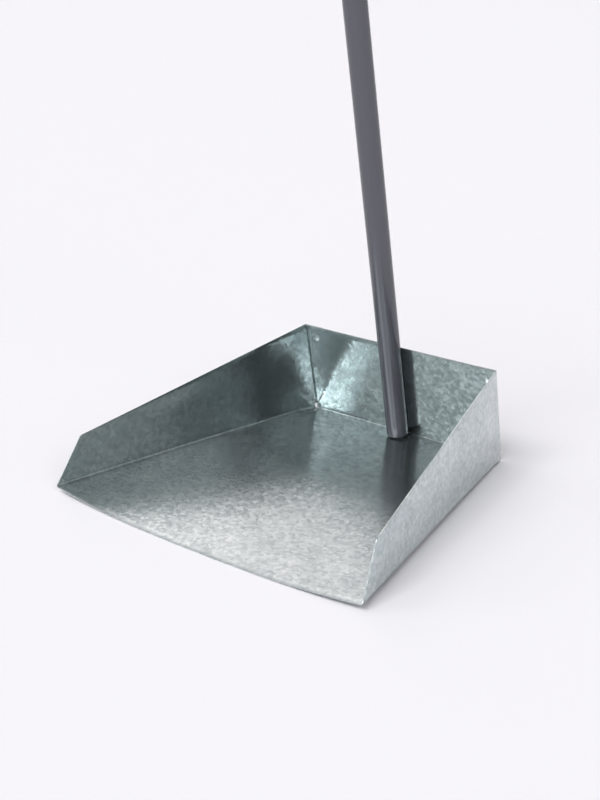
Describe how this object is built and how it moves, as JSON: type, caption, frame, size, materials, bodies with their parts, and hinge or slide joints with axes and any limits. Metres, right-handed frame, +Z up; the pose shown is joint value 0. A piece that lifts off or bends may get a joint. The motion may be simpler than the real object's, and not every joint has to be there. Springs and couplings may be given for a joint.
{
  "type": "lobby dustpan",
  "caption": "Folded galvanised sheet dustpan with low splayed side walls, a curved lip and a leaning back wall, and a fixed upright steel tube as its handle.",
  "frame": {"origin": "on the ground under the middle of the pan", "axes": "+X to the right, +Y to the back wall, +Z up; the lip faces -Y"},
  "size_m": [0.3018, 0.281, 0.8317],
  "materials": {
    "galvanised_sheet": "hot-dip galvanised, dull spangle",
    "handle_steel": "drawn steel tube, dark grey, semi-gloss",
    "rivet_zinc": "zinc plated",
    "cap_plastic": "moulded, fine matt"
  },
  "bodies": {
    "root": {"pan_sheet": "galvanised_sheet", "corner_rivet_left": "rivet_zinc", "corner_rivet_right": "rivet_zinc", "handle_tube": "handle_steel", "handle_rivet_lower": "rivet_zinc", "handle_rivet_upper": "rivet_zinc", "rivet_mandrel_lower": "handle_steel", "rivet_mandrel_upper": "handle_steel", "end_cap": "cap_plastic"}
  },
  "joints": []
}
